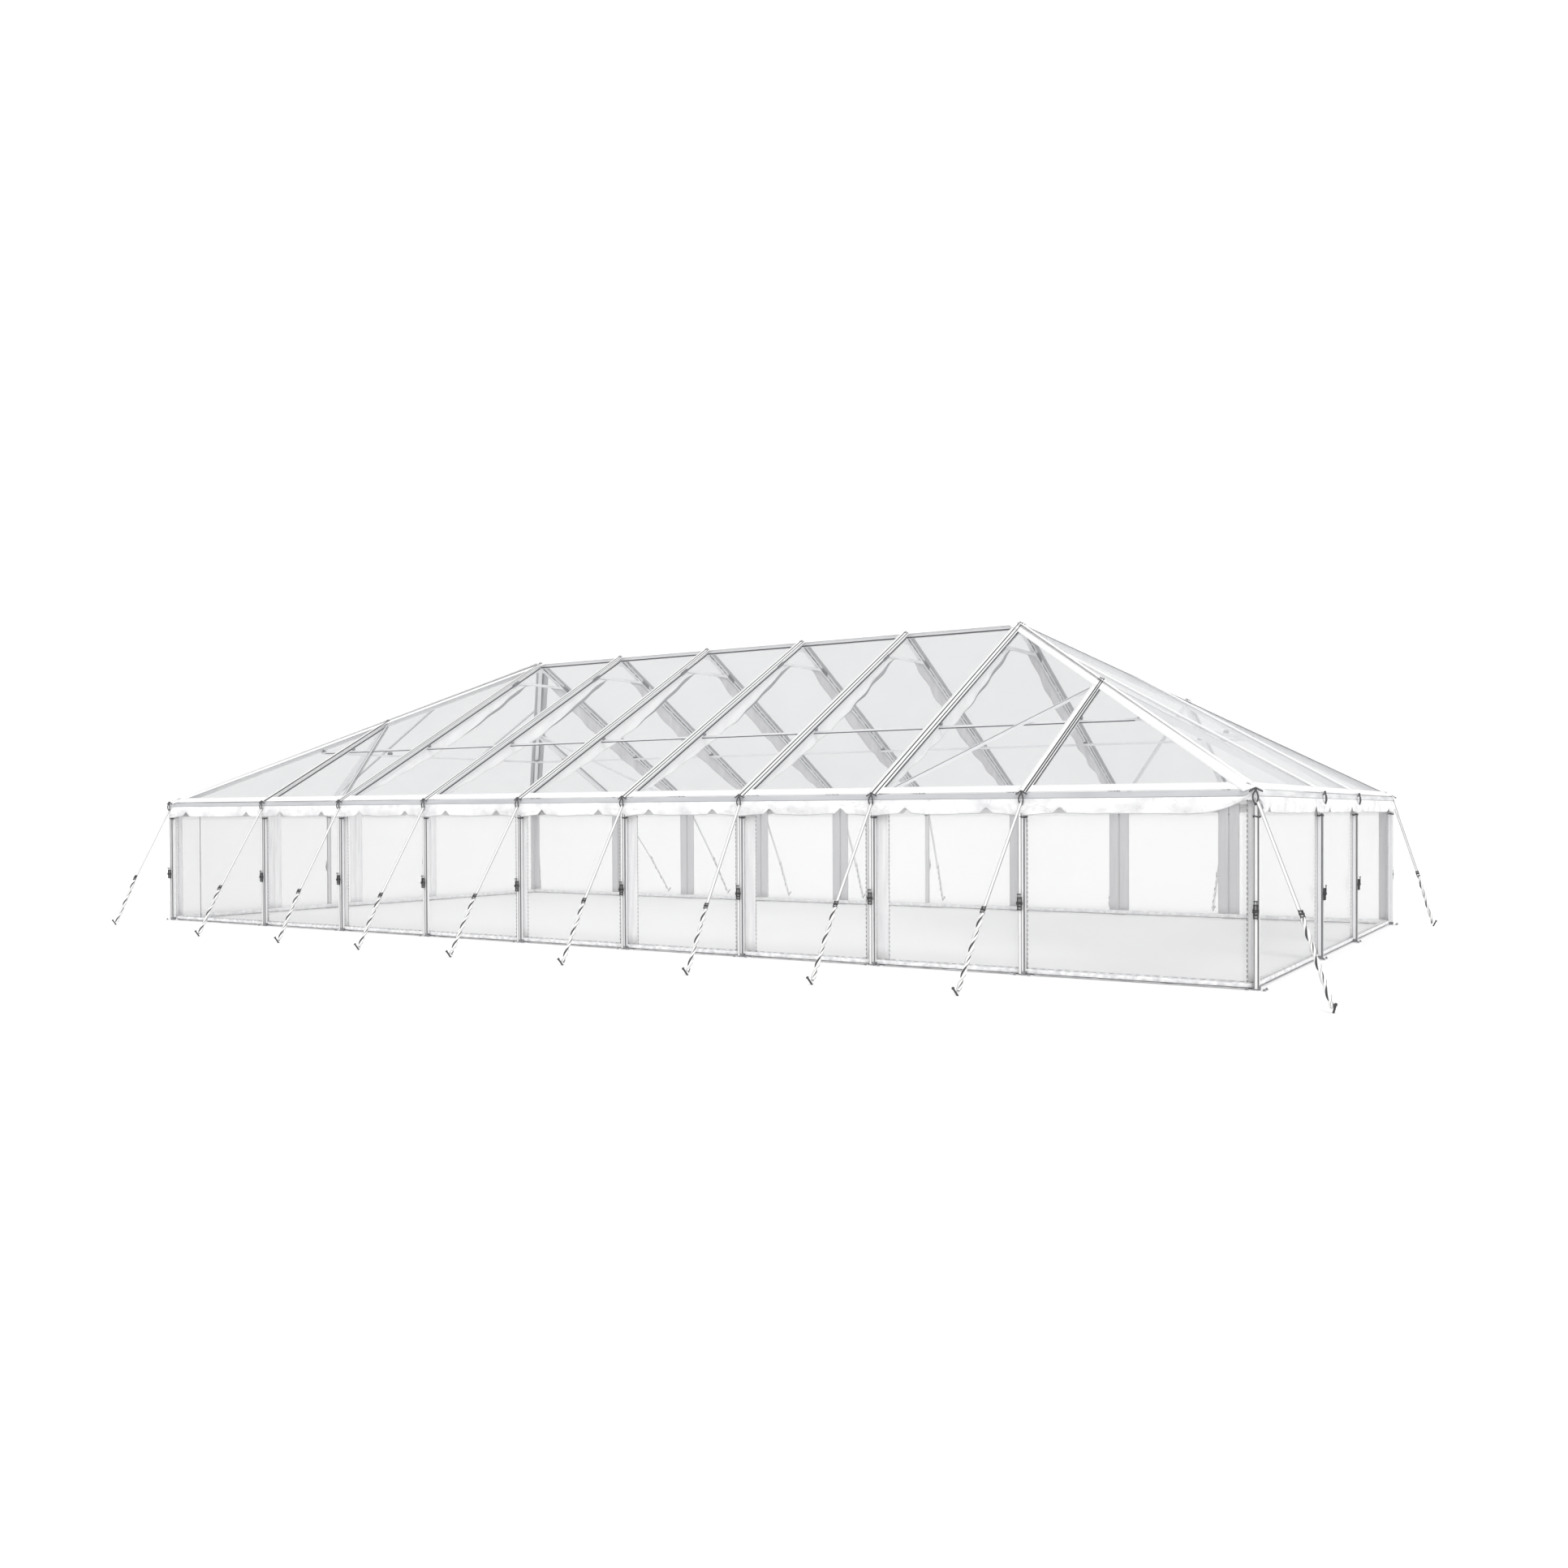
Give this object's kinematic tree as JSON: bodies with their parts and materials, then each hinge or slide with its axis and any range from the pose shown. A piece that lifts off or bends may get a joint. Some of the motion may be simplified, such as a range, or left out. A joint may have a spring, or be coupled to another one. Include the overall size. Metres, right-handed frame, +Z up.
{
  "type": "frame marquee tent",
  "caption": "Hip-ended frame marquee with a clear film roof and clear side walls on alloy legs, held down by ratchet webbing guys and stakes.",
  "frame": {"origin": "on the ground at the centre of the box round the tent and its stakes, which is the tent's own centre", "axes": "+X along the tent's length, +Y across it away from the long front side, +Z up"},
  "size_m": [26.952, 17.264, 6.16],
  "materials": {
    "leg_alloy": "mill-finished, slightly dull",
    "frame_alloy": "satin anodised",
    "roof_film": "clear film with a faint grey-blue tint",
    "wall_film": "clear film",
    "white_cloth": "matt white coated cloth",
    "webbing": "woven polyester webbing"
  },
  "bodies": {
    "root": {"arch_1": "frame_alloy", "arch_2": "frame_alloy", "arch_3": "frame_alloy", "arch_4": "frame_alloy", "arch_5": "frame_alloy", "arch_6": "frame_alloy", "back_drape_1": "white_cloth", "back_drape_2": "white_cloth", "back_drape_3": "white_cloth", "back_drape_4": "white_cloth", "back_drape_5": "white_cloth", "back_drape_6": "white_cloth", "back_guy_1": "webbing", "back_guy_10": "webbing", "back_guy_2": "webbing", "back_guy_3": "webbing", "back_guy_4": "webbing", "back_guy_5": "webbing", "back_guy_6": "webbing", "back_guy_7": "webbing", "back_guy_8": "webbing", "back_guy_9": "webbing", "back_left_hip_frame": "frame_alloy", "back_leg_row": "leg_alloy", "back_right_hip_frame": "frame_alloy", "back_roof": "roof_film", "back_valance": "white_cloth", "back_wall": "wall_film", "front_drape_1": "white_cloth", "front_drape_2": "white_cloth", "front_drape_3": "white_cloth", "front_drape_4": "white_cloth", "front_drape_5": "white_cloth", "front_drape_6": "white_cloth", "front_guy_1": "webbing", "front_guy_10": "webbing", "front_guy_2": "webbing", "front_guy_3": "webbing", "front_guy_4": "webbing", "front_guy_5": "webbing", "front_guy_6": "webbing", "front_guy_7": "webbing", "front_guy_8": "webbing", "front_guy_9": "webbing", "front_left_hip_frame": "frame_alloy", "front_leg_row": "leg_alloy", "front_right_hip_frame": "frame_alloy", "front_roof": "roof_film", "front_valance": "white_cloth", "front_wall": "wall_film", "left_leg_row": "leg_alloy", "left_roof": "roof_film", "left_valance": "white_cloth", "left_wall": "wall_film", "purlin_ring": "frame_alloy", "ridge_beam": "frame_alloy", "right_leg_row": "leg_alloy", "right_roof": "roof_film", "right_valance": "white_cloth", "right_wall": "wall_film"}
  },
  "joints": []
}
